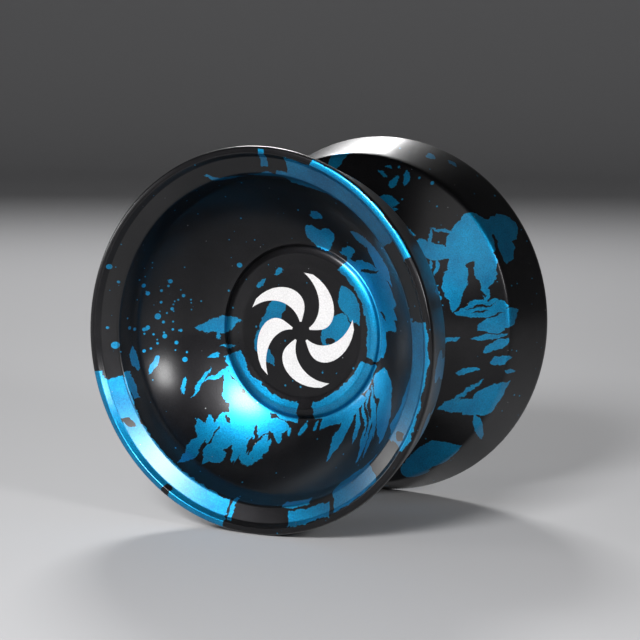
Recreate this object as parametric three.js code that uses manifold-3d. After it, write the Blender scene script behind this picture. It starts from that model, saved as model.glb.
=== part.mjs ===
// A one-piece aluminium butterfly yo-yo, in millimetres, +Z up, standing on its two rims.
// The axle lies along Y through the origin. half_a is on the -Y side and half_b on the +Y side.
// Two identical turned halves are joined by a threaded axle stud. The stud's middle carries a
// ball bearing, and a silicone response ring sits in a groove of each half's gap wall.

import * as THREE from 'three';
import { mergeVertices } from 'three/addons/utils/BufferGeometryUtils.js';
import Module from 'manifold-3d';

const wasm = await Module();
wasm.setup();

// ---- driving dimensions -------------------------------------------------------------------
const overallDiameter = 56;
const overallWidth = 42.3;
const gapWidth = 4.5; // between the two response walls, where the string runs

const rimEdgeRound = 0.6; // from the widest circle in to the outermost plane
const rimLandWidth = 0.6; // short cylinder at the widest circle
const rimFlatWidth = 0.4; // flat ring at the outermost plane
const bevelWidth = 0.6; // narrow outer bevel of the rim face
const bevelDepth = 0.8;
const ringFaceWidth = 2.4; // wide sloped face inside the bevel
const ringFaceDepth = 1.2;
const cupWallDepth = 3.7; // steep wall inside the ring face
const cupWallTaper = 0.8;
const rimBandWidth = 9.0; // outer band from the rim to the crease
const rimBandTaper = 2.25; // radius lost along that band
const creaseRound = 0.9;
const catchLip = 1.2; // flat between the response groove and the catch wall
const gapWallScoop = 0.7; // how far the catch wall is hollowed below a straight cone
const bowlScoop = 1.0; // the same for the cup's bowl

const hubDiscRadius = 9.8;
const hubCrestRadius = 11.6;
const hubFootRadius = 13.0;
const hubCrestHeight = 0.45; // crest above the hub disc
const hubFootDrop = 0.25; // foot of the hub below the hub disc
const hubFloor = 0.7; // metal between the axle's blind hole and the hub disc
const hubShoulder = 0.35; // convex rounding of the hub's side

const bearingOuterDiameter = 12.7; // size C bearing
const bearingBore = 6.35;
const bearingWidth = 4.76;
const ballDiameter = 2.0;
const ballCount = 8;
const grooveClearance = 0.07; // ball to raceway
const innerGrooveDepth = 0.2625; // how far a ball reaches below the inner race's shoulder
const outerGrooveDepth = 0.3125; // and below the outer race's
const raceEdge = 0.15; // edge chamfer of the outer race
const shieldSeatWall = 0.3; // outer diameter to the shield's groove
const shieldSeatDepth = 0.7; // from the bearing's face to the groove's inner side
const shieldThickness = 0.16;
const snapRingThickness = 0.18;
const snapRingWidth = 0.4;
const snapRingGapAngle = 0.5; // radians left open in the snap ring
const retainingLip = 0.14; // lip of the outer race over the snap ring
const cageThickness = 0.18;
const cageWidth = 0.62;
const cageClearance = 0.1; // ball to cage
const cageSplit = 0.08; // half the gap between the two cage halves

const axleDiameter = 4; // M4 stud
const axleLength = 12;
const axlePitch = 0.7;
const threadDepth = 0.28;
const axleEndClearance = 0.2;
const hexSocketSize = 2; // across flats
const hexSocketDepth = 2.2;

const padGrooveLip = 0.5; // wall between the bearing recess and the response groove
const padRingWidth = 2.1;
const padThickness = 1.0;
const padEdge = 0.1;

const postGap = 1.2; // between the ends of the two bearing posts
const postEdge = 0.2;
const recessDepth = 0.4; // from the bearing's shoulder to the floor around it

const fitClearance = 0.2; // between pieces that seat on each other
const threadClearance = 0.2; // axle crest to the wall of the tapped hole
const seatGap = 0.1; // bearing face to its shoulder
const outerRaceClearance = 0.35; // spinning outer race to the recess around it
const sealGap = 0.05; // shield and snap ring to the groove they sit in

const halfSegments = 48;
const bearingSegments = 32;
const axleSegments = 16;
const ballSegments = 12;
const ballRings = 6;
const grooveSteps = 4;
const scoopSteps = 5;

// ---- sizes worked out from them -----------------------------------------------------------
const rimRadius = overallDiameter / 2;
const rimPlane = overallWidth / 2;
const gapHalf = gapWidth / 2;
const bearingRadius = bearingOuterDiameter / 2;
const boreRadius = bearingBore / 2;
const bearingHalf = bearingWidth / 2;
const ballRadius = ballDiameter / 2;
const pitchRadius = (boreRadius + bearingRadius) / 2;
const grooveRadius = ballRadius + grooveClearance;
const axleRadius = axleDiameter / 2;
const tappedRadius = axleRadius + threadClearance;
const tappedEnd = axleLength / 2 + axleEndClearance;
const hubDiscPlane = tappedEnd + hubFloor;
const postRadius = boreRadius - fitClearance;
const innerShoulder = pitchRadius - ballRadius + innerGrooveDepth;
const outerShoulder = pitchRadius + ballRadius - outerGrooveDepth;
const shoulderRadius = innerShoulder - fitClearance;
const recessRadius = bearingRadius + outerRaceClearance;
const padGrooveInner = recessRadius + padGrooveLip;
const padInnerRadius = padGrooveInner + fitClearance;
const padOuterRadius = padInnerRadius + padRingWidth;
const padGrooveOuter = padOuterRadius + fitClearance;

// ---- materials ----------------------------------------------------------------------------
function metal(color, roughness, metalness) {
  return new THREE.MeshStandardMaterial({ color, roughness, metalness });
}

const anodised = metal(0x232224, 0.55, 0.8);
const bearingSteel = metal(0xb9bcc0, 0.22, 1);
const plainSteel = metal(0x8b8f94, 0.35, 1);
const siliconeRubber = metal(0xd9d8d2, 0.7, 0);

// ---- shared shape helpers -----------------------------------------------------------------
// A profile is a list of [radius, along] pairs, anticlockwise in that plane, turned about Y.
// side +1 keeps it, and side -1 mirrors it to the other half.
function turned(profile, segments, side = 1) {
  const points = profile.map(([radius, along]) => new THREE.Vector2(radius, side * along));
  if (side < 0) points.reverse();
  return new THREE.LatheGeometry(points, segments, Math.PI / segments);
}

// A profile that closes on itself, for rings.
function turnedRing(profile, segments, side = 1) {
  return turned([...profile, profile[0]], segments, side);
}

// Points of a hollowed wall from one profile point to another, without its two ends.
function scooped(from, to, scoop, steps) {
  const chord = new THREE.Vector2(to[0] - from[0], to[1] - from[1]);
  const sideways = new THREE.Vector2(-chord.y, chord.x).normalize().multiplyScalar(2 * scoop);
  const middle = new THREE.Vector2((from[0] + to[0]) / 2, (from[1] + to[1]) / 2).add(sideways);
  const curve = new THREE.QuadraticBezierCurve(
    new THREE.Vector2(...from), middle, new THREE.Vector2(...to));
  return curve.getPoints(steps).slice(1, -1).map((point) => [point.x, point.y]);
}

// Points of an arc about a centre, both ends included.
function arcPoints(centre, radius, fromAngle, toAngle, steps) {
  const arc = new THREE.EllipseCurve(...centre, radius, radius, fromAngle, toAngle, toAngle < fromAngle);
  return arc.getPoints(steps).map((point) => [point.x, point.y]);
}

function solidOf(geometry) {
  const bare = geometry.index ? geometry.toNonIndexed() : geometry.clone();
  bare.deleteAttribute('normal');
  bare.deleteAttribute('uv');
  const merged = mergeVertices(bare, 1e-5);
  return new wasm.Manifold(new wasm.Mesh({
    numProp: 3,
    vertProperties: new Float32Array(merged.attributes.position.array),
    triVerts: new Uint32Array(merged.index.array),
  }));
}

function geometryOf(solid) {
  const mesh = solid.getMesh();
  const geometry = new THREE.BufferGeometry();
  geometry.setAttribute('position', new THREE.BufferAttribute(new Float32Array(mesh.vertProperties), 3));
  geometry.setIndex(new THREE.BufferAttribute(new Uint32Array(mesh.triVerts), 1));
  return geometry;
}

const yoyo = new THREE.Group();

function addPiece(name, geometry, material) {
  const mesh = new THREE.Mesh(geometry, material);
  mesh.name = name;
  yoyo.add(mesh);
  return mesh;
}

// ---- turned halves ------------------------------------------------------------------------
function halfProfile() {
  const bevelInner = [rimRadius - rimEdgeRound - rimFlatWidth - bevelWidth, rimPlane - bevelDepth];
  const ringInner = [bevelInner[0] - ringFaceWidth, bevelInner[1] - ringFaceDepth];
  const wallFoot = [ringInner[0] - cupWallTaper, ringInner[1] - cupWallDepth];
  const bowlFoot = [hubFootRadius, hubDiscPlane - hubFootDrop];
  const landInner = rimPlane - rimEdgeRound - rimLandWidth;
  const crease = [rimRadius - rimBandTaper, landInner - rimBandWidth + rimLandWidth];
  const wallStart = [padGrooveOuter + catchLip, gapHalf];
  const wallEnd = [crease[0] - creaseRound, crease[1] - creaseRound / 2];
  const grooveFloor = gapHalf + padThickness + fitClearance;
  const seat = bearingHalf + seatGap;
  const recessFloor = seat + recessDepth;
  const postEnd = postGap / 2;

  return [
    // blind tapped hole and the bearing post
    [0, tappedEnd],
    [tappedRadius, tappedEnd],
    [tappedRadius, postEnd],
    [postRadius - postEdge, postEnd],
    [postRadius, postEnd + postEdge],
    [postRadius, seat],
    [shoulderRadius, seat],
    // recess for the spinning outer race
    [shoulderRadius, recessFloor],
    [recessRadius, recessFloor],
    [recessRadius, gapHalf],
    // groove for the response ring
    [padGrooveInner, gapHalf],
    [padGrooveInner, grooveFloor],
    [padGrooveOuter, grooveFloor],
    [padGrooveOuter, gapHalf],
    // catch wall, crease and rim band
    wallStart,
    ...scooped(wallStart, wallEnd, gapWallScoop, scoopSteps),
    wallEnd,
    [crease[0] - creaseRound / 4, crease[1] + creaseRound / 5],
    [crease[0] + creaseRound / 4, crease[1] + creaseRound],
    [rimRadius, landInner],
    [rimRadius, landInner + rimLandWidth],
    [rimRadius - rimEdgeRound * 0.3, rimPlane - rimEdgeRound * 0.3],
    [rimRadius - rimEdgeRound, rimPlane],
    [rimRadius - rimEdgeRound - rimFlatWidth, rimPlane],
    // rim face, cup wall and bowl
    bevelInner,
    ringInner,
    wallFoot,
    ...scooped(wallFoot, bowlFoot, bowlScoop, scoopSteps),
    bowlFoot,
    // hub with its crest and flat disc
    [hubFootRadius - hubShoulder, hubDiscPlane + hubCrestHeight / 2],
    [hubCrestRadius, hubDiscPlane + hubCrestHeight],
    [hubDiscRadius, hubDiscPlane],
    [0, hubDiscPlane],
  ];
}

function addHalf(name, side) {
  addPiece(name, turned(halfProfile(), halfSegments, side), anodised);
}

// ---- response rings -----------------------------------------------------------------------
function addResponsePad(name, side) {
  const inner = padInnerRadius;
  const outer = padOuterRadius;
  const face = gapHalf;
  const profile = [
    [inner, face + padEdge],
    [inner + padEdge, face],
    [outer - padEdge, face],
    [outer, face + padEdge],
    [outer, face + padThickness],
    [inner, face + padThickness],
  ];
  addPiece(name, turnedRing(profile, bearingSegments, side), siliconeRubber);
}

// ---- axle stud ----------------------------------------------------------------------------
// A set screw with ring-shaped thread ridges and a hexagon socket in its +Y end.
function addAxle() {
  const end = axleLength / 2;
  const chamfer = threadDepth;
  const root = axleRadius - threadDepth;
  const ridges = Math.floor((axleLength - 2 * chamfer) / axlePitch);
  const first = -ridges * axlePitch / 2;
  const profile = [[0, -end], [root, -end], [root, first]];
  for (let i = 0; i < ridges; i += 1) {
    profile.push([axleRadius, first + (i + 0.5) * axlePitch]);
    profile.push([root, first + (i + 1) * axlePitch]);
  }
  profile.push([root, end], [0, end]);
  const socketRadius = hexSocketSize / Math.sqrt(3);
  const socket = new THREE.CylinderGeometry(socketRadius, socketRadius, 2 * hexSocketDepth, 6);
  socket.translate(0, end, 0);
  const screw = solidOf(turned(profile, axleSegments));
  addPiece('axle', geometryOf(screw.subtract(solidOf(socket))), plainSteel);
}

// ---- ball bearing -------------------------------------------------------------------------
function addRaces() {
  const innerAngle = Math.acos((pitchRadius - innerShoulder) / grooveRadius);
  const outerAngle = Math.acos((outerShoulder - pitchRadius) / grooveRadius);
  const centre = [pitchRadius, 0];
  const seat = bearingHalf - shieldSeatDepth;
  const seatRadius = bearingRadius - shieldSeatWall;

  const innerProfile = [
    [boreRadius, -bearingHalf],
    [innerShoulder, -bearingHalf],
    ...arcPoints(centre, grooveRadius, Math.PI + innerAngle, Math.PI - innerAngle, grooveSteps),
    [innerShoulder, bearingHalf],
    [boreRadius, bearingHalf],
  ];
  addPiece('bearing_inner_race', turnedRing(innerProfile, bearingSegments), bearingSteel);

  const outerProfile = [
    [bearingRadius, -bearingHalf + raceEdge],
    [bearingRadius, bearingHalf - raceEdge],
    [bearingRadius - raceEdge, bearingHalf],
    [seatRadius - retainingLip, bearingHalf],
    [seatRadius - retainingLip, bearingHalf - retainingLip],
    [seatRadius, bearingHalf - 1.5 * retainingLip],
    [seatRadius, seat],
    [outerShoulder, seat],
    ...arcPoints(centre, grooveRadius, outerAngle, -outerAngle, grooveSteps),
    [outerShoulder, -seat],
    [seatRadius, -seat],
    [seatRadius, -bearingHalf + 1.5 * retainingLip],
    [seatRadius - retainingLip, -bearingHalf + retainingLip],
    [seatRadius - retainingLip, -bearingHalf],
    [bearingRadius - raceEdge, -bearingHalf],
  ];
  addPiece('bearing_outer_race', turnedRing(outerProfile, bearingSegments), bearingSteel);
}

function ballPlaces() {
  const places = [];
  for (let i = 0; i < ballCount; i += 1) {
    const angle = (i + 0.5) * 2 * Math.PI / ballCount;
    places.push(new THREE.Vector3(pitchRadius * Math.sin(angle), 0, pitchRadius * Math.cos(angle)));
  }
  return places;
}

function addBalls() {
  ballPlaces().forEach((place, i) => {
    const ball = addPiece(`ball_${i + 1}`, new THREE.SphereGeometry(ballRadius, ballSegments, ballRings),
      bearingSteel);
    ball.position.copy(place);
  });
}

// Half of a pressed ribbon cage: a thin ring that bulges over each ball.
function addCageHalf(name, side) {
  const inner = pitchRadius - cageWidth / 2;
  const outer = pitchRadius + cageWidth / 2;
  const pocket = ballRadius + cageClearance;
  const ring = (height) => solidOf(turnedRing(
    [[inner, cageSplit], [outer, cageSplit], [outer, height], [inner, height]], bearingSegments, side));
  const flat = ring(cageSplit + cageThickness);
  const tall = ring(pocket + 2 * cageThickness);
  const sphereAt = (place, radius) => {
    const sphere = new THREE.SphereGeometry(radius, ballSegments, ballRings);
    sphere.translate(place.x, place.y, place.z);
    return solidOf(sphere);
  };
  let cage = flat;
  for (const place of ballPlaces()) {
    cage = cage.add(tall.intersect(sphereAt(place, pocket + cageThickness)));
  }
  for (const place of ballPlaces()) {
    cage = cage.subtract(sphereAt(place, pocket));
  }
  addPiece(name, geometryOf(cage), plainSteel);
}

function addShield(name, side) {
  const inner = innerShoulder + 3 * sealGap;
  const outer = bearingRadius - shieldSeatWall - sealGap;
  const low = bearingHalf - shieldSeatDepth + sealGap;
  const high = low + shieldThickness;
  const profile = [[inner, low], [outer, low], [outer, high], [inner, high]];
  addPiece(name, turnedRing(profile, bearingSegments, side), bearingSteel);
}

// An open wire ring that holds the shield in the outer race.
function addSnapRing(name, side) {
  const outer = bearingRadius - shieldSeatWall - sealGap;
  const inner = outer - snapRingWidth;
  const low = bearingHalf - shieldSeatDepth + shieldThickness + 2 * sealGap;
  const openFrom = snapRingGapAngle / 2;
  const openTo = 2 * Math.PI - snapRingGapAngle / 2;
  const outline = new THREE.Shape();
  outline.absarc(0, 0, outer, openFrom, openTo, false);
  outline.absarc(0, 0, inner, openTo, openFrom, true);
  const clip = new THREE.ExtrudeGeometry(outline, {
    depth: snapRingThickness, bevelEnabled: false, curveSegments: bearingSegments / 2,
  });
  clip.translate(0, 0, -snapRingThickness / 2);
  const ring = addPiece(name, clip, plainSteel);
  ring.rotation.set(Math.PI / 2, side > 0 ? -Math.PI / 2 : Math.PI / 2, 0, 'YXZ');
  ring.position.y = side * (low + snapRingThickness / 2);
}

for (const [letter, side] of [['a', -1], ['b', 1]]) {
  addHalf(`half_${letter}`, side);
  addResponsePad(`response_pad_${letter}`, side);
  addCageHalf(`cage_half_${letter}`, side);
  addShield(`shield_${letter}`, side);
  addSnapRing(`snap_ring_${letter}`, side);
}
addAxle();
addRaces();
addBalls();

export default yoyo;
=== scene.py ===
"""A black and blue butterfly yo-yo standing on its two rims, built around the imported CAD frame."""

import math
import random

import bmesh
import bpy
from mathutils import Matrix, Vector


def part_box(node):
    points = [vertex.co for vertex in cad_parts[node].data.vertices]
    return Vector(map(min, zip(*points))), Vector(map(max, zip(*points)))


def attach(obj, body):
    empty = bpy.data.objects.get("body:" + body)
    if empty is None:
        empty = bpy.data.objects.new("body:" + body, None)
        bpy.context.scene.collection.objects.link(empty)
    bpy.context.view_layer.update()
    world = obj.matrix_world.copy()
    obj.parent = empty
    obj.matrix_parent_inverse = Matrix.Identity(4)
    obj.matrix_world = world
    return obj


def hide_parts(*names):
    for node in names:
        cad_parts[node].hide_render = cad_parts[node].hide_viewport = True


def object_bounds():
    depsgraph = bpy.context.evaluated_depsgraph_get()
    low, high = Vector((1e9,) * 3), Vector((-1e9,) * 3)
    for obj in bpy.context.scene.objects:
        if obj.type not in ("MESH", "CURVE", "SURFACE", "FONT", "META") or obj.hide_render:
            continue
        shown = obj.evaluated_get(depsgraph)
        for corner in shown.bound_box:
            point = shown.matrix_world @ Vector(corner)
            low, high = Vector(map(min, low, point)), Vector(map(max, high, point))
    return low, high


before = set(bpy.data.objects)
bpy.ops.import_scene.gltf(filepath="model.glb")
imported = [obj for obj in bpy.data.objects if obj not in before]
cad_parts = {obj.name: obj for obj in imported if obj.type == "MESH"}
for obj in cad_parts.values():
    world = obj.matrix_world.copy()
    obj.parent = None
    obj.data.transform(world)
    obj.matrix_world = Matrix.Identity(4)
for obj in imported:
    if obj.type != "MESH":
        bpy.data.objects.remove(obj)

MM = 0.001
cad_box = [list(corner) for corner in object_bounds()]


# ---- The two turned halves ----------------------------------------------------------------
# Each half is turned from one piece of aluminium, bead blasted and dyed black, and then splashed
# with acid and dyed blue, so the blue runs unbroken from the hub over the bowl, rim and catch wall.
# Both halves have the same profile, with a tapped hole and bearing post on the gap side.
half_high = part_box("half_b")[1]
rim_radius = half_high.x / MM
rim_plane = half_high.y / MM
race_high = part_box("bearing_outer_race")[1]
race_radius = race_high.x / MM
race_half = race_high.y / MM
pad_low, pad_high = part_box("response_pad_b")
pad_outer = pad_high.x / MM
pad_face = pad_low.y / MM
pad_back = pad_high.y / MM
pad_inner = 7.4
pad_clearance = 0.2
axle_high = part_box("axle")[1]
axle_radius = axle_high.x / MM
axle_half = axle_high.y / MM
axle_pitch = 0.7
bore_radius = 3.175
post_radius = bore_radius - 0.2
tapped_radius = axle_radius + 0.2
tapped_end = axle_half + 0.2
hub_disc_plane = tapped_end + 0.7
hub_disc_radius = 9.8
lathe_steps = 360


def rounded(corners, steps=4):
    """Turns (radius, along, rounding) corners into a smooth open outline of (radius, along)."""
    points = []
    last = len(corners) - 1
    for i, (radius, along, rounding) in enumerate(corners):
        here = Vector((radius, along))
        if i in (0, last) or rounding == 0:
            points.append(here)
            continue
        before = Vector(corners[i - 1][:2]) - here
        after = Vector(corners[i + 1][:2]) - here
        start = here + before.normalized() * min(rounding, before.length * 0.48)
        end = here + after.normalized() * min(rounding, after.length * 0.48)
        for k in range(steps + 1):
            t = k / steps
            points.append(start * (1 - t) ** 2 + here * (2 * t * (1 - t)) + end * t ** 2)
    return points


def scooped(start, end, scoop, steps):
    """Corners along a wall that is hollowed by scoop between two (radius, along) ends."""
    start, end = Vector(start), Vector(end)
    chord = end - start
    middle = (start + end) / 2 + Vector((-chord.y, chord.x)).normalized() * 2 * scoop
    corners = []
    for k in range(1, steps):
        t = k / steps
        point = start * (1 - t) ** 2 + middle * (2 * t * (1 - t)) + end * t ** 2
        corners.append((point.x, point.y, 0))
    return corners


def gap_side_corners():
    """From the blind tapped hole out over the post, recess, response groove and catch wall."""
    crease_radius = rim_radius - 2.25
    crease_along = rim_plane - 9.6
    wall_start = (pad_outer + pad_clearance + 1.2, pad_face)
    wall_end = (crease_radius - 0.9, crease_along - 0.45)
    seat = race_half + 0.1
    recess = race_radius + 0.35
    groove_floor = pad_back + pad_clearance
    corners = [(0, tapped_end, 0)]
    turns = int((tapped_end - 0.9) / axle_pitch)
    corners.append((tapped_radius, tapped_end, 0.1))
    for k in range(turns):
        top = tapped_end - 0.3 - k * axle_pitch
        corners.append((tapped_radius, top, 0.03))
        corners.append((tapped_radius - 0.16, top - axle_pitch * 0.5, 0.03))
    corners += [
        (tapped_radius, 0.7, 0.05),
        (tapped_radius + 0.25, 0.6, 0.05),
        (post_radius - 0.25, 0.6, 0.08),
        (post_radius, 0.85, 0.08),
        (post_radius, seat, 0.05),
        (bore_radius + 0.65, seat, 0.05),
        (bore_radius + 0.65, seat + 0.4, 0.05),
        (recess, seat + 0.4, 0.15),
        (recess, pad_face + 0.12, 0.05),
        (recess + 0.12, pad_face, 0.05),
        (pad_inner - pad_clearance, pad_face, 0.06),
        (pad_inner - pad_clearance, groove_floor, 0.08),
        (pad_outer + pad_clearance, groove_floor, 0.08),
        (pad_outer + pad_clearance, pad_face, 0.06),
        (wall_start[0], wall_start[1], 0.8),
        *scooped(wall_start, wall_end, 0.7, 16),
        (crease_radius - 0.45, crease_along - 0.22, 0.3),
        (crease_radius, crease_along + 0.15, 1.1),
    ]
    return corners


def cup_side_corners():
    """From the widest circle in over the rim's bevel, ring face, cup wall and bowl to the hub."""
    bevel_inner = (rim_radius - 1.6, rim_plane - 0.8)
    ring_inner = (bevel_inner[0] - 2.4, bevel_inner[1] - 1.2)
    wall_foot = (ring_inner[0] - 0.8, ring_inner[1] - 3.7)
    bowl_foot = (13.0, hub_disc_plane - 0.25)
    return [
        (rim_radius, rim_plane - 0.75, 0.35),
        (rim_radius - 0.12, rim_plane - 0.12, 0.35),
        (rim_radius - 0.75, rim_plane, 0.3),
        (rim_radius - 1.05, rim_plane, 0.12),
        (*bevel_inner, 0.14),
        (*ring_inner, 0.35),
        (*wall_foot, 1.3),
        *scooped(wall_foot, bowl_foot, 1.0, 18),
        (*bowl_foot, 0.3),
        (12.65, hub_disc_plane + 0.28, 0.5),
        (11.6, hub_disc_plane + 0.48, 0.3),
        (hub_disc_radius + 0.1, hub_disc_plane + 0.02, 0.25),
        (hub_disc_radius - 0.4, hub_disc_plane, 0),
        (6.0, hub_disc_plane, 0),
        (3.0, hub_disc_plane, 0),
        (0, hub_disc_plane, 0),
    ]


def turn_outline(name, outline, side, steps):
    """Revolves an outline about Y and returns the object with its bake map."""
    shape = bmesh.new()
    rings = []
    for point in outline:
        if point.x < 1e-6:
            rings.append([shape.verts.new((0, side * point.y * MM, 0))])
            continue
        ring = []
        for j in range(steps):
            angle = 2 * math.pi * (j + 0.5) / steps
            ring.append(shape.verts.new((point.x * math.cos(angle) * MM, side * point.y * MM,
                                         point.x * math.sin(angle) * MM)))
        rings.append(ring)
    travelled = [0.0]
    for before, after in zip(outline, outline[1:]):
        travelled.append(travelled[-1] + (after - before).length)
    bake = shape.loops.layers.uv.new("OFBake")
    for i in range(len(outline) - 1):
        near, far = rings[i], rings[i + 1]
        for j in range(steps):
            k = (j + 1) % steps
            corners = []
            if len(near) > 1:
                corners += [(near[j], j, i), (near[k], j + 1, i)]
            else:
                corners += [(near[0], j + 0.5, i)]
            if len(far) > 1:
                corners += [(far[k], j + 1, i + 1), (far[j], j, i + 1)]
            else:
                corners += [(far[0], j + 0.5, i + 1)]
            face = shape.faces.new([corner[0] for corner in corners])
            face.smooth = True
            face.material_index = 0
            for loop, (_, around, row) in zip(face.loops, corners):
                loop[bake].uv = (around / steps, travelled[row] / travelled[-1])
    bmesh.ops.recalc_face_normals(shape, faces=shape.faces)
    mesh = bpy.data.meshes.new(name)
    shape.to_mesh(mesh)
    shape.free()
    made = bpy.data.objects.new(name, mesh)
    bpy.context.collection.objects.link(made)
    return made


def add_flat_map(made, name, outline, from_end):
    """A second map that unrolls the half into a flat disc, in millimetres, from one end's axis."""
    path = outline if not from_end else outline[::-1]
    start = next(i for i, point in enumerate(path) if point.x > 1e-6)
    reach = [0.0] * len(path)
    for i in range(1, len(path)):
        reach[i] = reach[i - 1] + (path[i] - path[i - 1]).length
    if not from_end:
        first = next(i for i, point in enumerate(path) if point.x > pad_outer)
        reach = [value - reach[first] + path[first].x for value in reach]
    if from_end:
        reach = reach[::-1]
    layer = made.data.uv_layers.new(name=name)
    rings = []
    for row, point in enumerate(outline):
        rings += [row] * (1 if point.x < 1e-6 else lathe_steps)
    for loop in made.data.loops:
        place = made.data.vertices[loop.vertex_index].co
        along = math.hypot(place.x, place.z)
        distance = max(reach[rings[loop.vertex_index]], 0.0)
        if along > 1e-9:
            layer.data[loop.index].uv = (place.x / along * distance, place.z / along * distance)
        else:
            layer.data[loop.index].uv = (0, 0)


def put(tree, kind, inputs=None, **settings):
    """Adds a shader node with its settings, and with values or links on its inputs."""
    made = tree.nodes.new(kind)
    for key, value in settings.items():
        setattr(made, key, value)
    for key, value in (inputs or {}).items():
        if isinstance(value, bpy.types.NodeSocket):
            tree.links.new(value, made.inputs[key])
        else:
            made.inputs[key].default_value = value
    return made


def calc(tree, operation, first, second=0.0, third=0.0):
    made = put(tree, "ShaderNodeMath", {0: first, 1: second, 2: third}, operation=operation)
    return made.outputs[0]


def ramp(tree, value, low, high, to_low=0.0, to_high=1.0):
    made = put(tree, "ShaderNodeMapRange",
               {"Value": value, "From Min": low, "From Max": high, "To Min": to_low, "To Max": to_high})
    return made.outputs["Result"]


def mixed(tree, amount, first, second):
    made = put(tree, "ShaderNodeMix", {"Factor": amount, "A": first, "B": second}, data_type="RGBA")
    return made.outputs["Result"]


def noise(tree, place, scale, detail=2.0, roughness=0.5):
    made = put(tree, "ShaderNodeTexNoise",
               {"Vector": place, "Scale": scale, "Detail": detail, "Roughness": roughness})
    return made


def stroke_field(tree, place, strokes):
    """How far inside the nearest stroke a place is, in mm. A stroke is x, z, to x, to z, width."""
    field = None
    for number, (x, z, to_x, to_z, width) in enumerate(strokes):
        if number % 10 == 9:
            # each ten strokes wait for the last ten, which keeps the shader's working memory small
            place = put(tree, "ShaderNodeVectorMath",
                        {0: field, 1: (0, 0, 0), 2: place}, operation="MULTIPLY_ADD").outputs[0]
        length = math.hypot(to_x - x, to_z - z)
        turn = math.atan2(to_z - z, to_x - x)
        local = put(tree, "ShaderNodeMapping", {
            "Vector": place,
            "Location": ((x + to_x) / 2, (z + to_z) / 2, 0),
            "Rotation": (0, 0, turn),
            "Scale": (max(length / 2, width / 2), width / 2, 1),
        }, vector_type="TEXTURE")
        if length < 2.0 * width:
            away = put(tree, "ShaderNodeVectorMath", {0: local.outputs[0]}, operation="LENGTH")
            away = away.outputs["Value"]
        else:
            # long strokes run out to a point at both ends
            parts = put(tree, "ShaderNodeSeparateXYZ", {0: local.outputs[0]})
            side = calc(tree, "ABSOLUTE", parts.outputs["Y"])
            away = calc(tree, "MULTIPLY_ADD", parts.outputs["X"], parts.outputs["X"], side)
        inside = calc(tree, "MULTIPLY_ADD", away, -width / 2, width / 2)
        field = inside if field is None else calc(tree, "MAXIMUM", field, inside)
    return field


def arc_field(tree, place, arcs):
    """The same for arcs round the axis: from angle, to angle, inner and outer distance."""
    parts = put(tree, "ShaderNodeSeparateXYZ", {0: place})
    distance = put(tree, "ShaderNodeVectorMath", {0: place}, operation="LENGTH").outputs["Value"]
    angle = calc(tree, "ARCTAN2", parts.outputs["Y"], parts.outputs["X"])
    field = None
    for start, end, inner, outer in arcs:
        middle = math.radians((start + end) / 2)
        spread = math.radians((end - start) / 2)
        away = calc(tree, "WRAP", calc(tree, "SUBTRACT", angle, middle), math.pi, -math.pi)
        sideways = calc(tree, "SUBTRACT", spread, calc(tree, "ABSOLUTE", away))
        sideways = calc(tree, "MULTIPLY", sideways, distance)
        across = calc(tree, "ABSOLUTE", calc(tree, "SUBTRACT", distance, (inner + outer) / 2))
        across = calc(tree, "SUBTRACT", (outer - inner) / 2, across)
        inside = calc(tree, "MINIMUM", sideways, across)
        field = inside if field is None else calc(tree, "MAXIMUM", field, inside)
    return field


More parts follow.
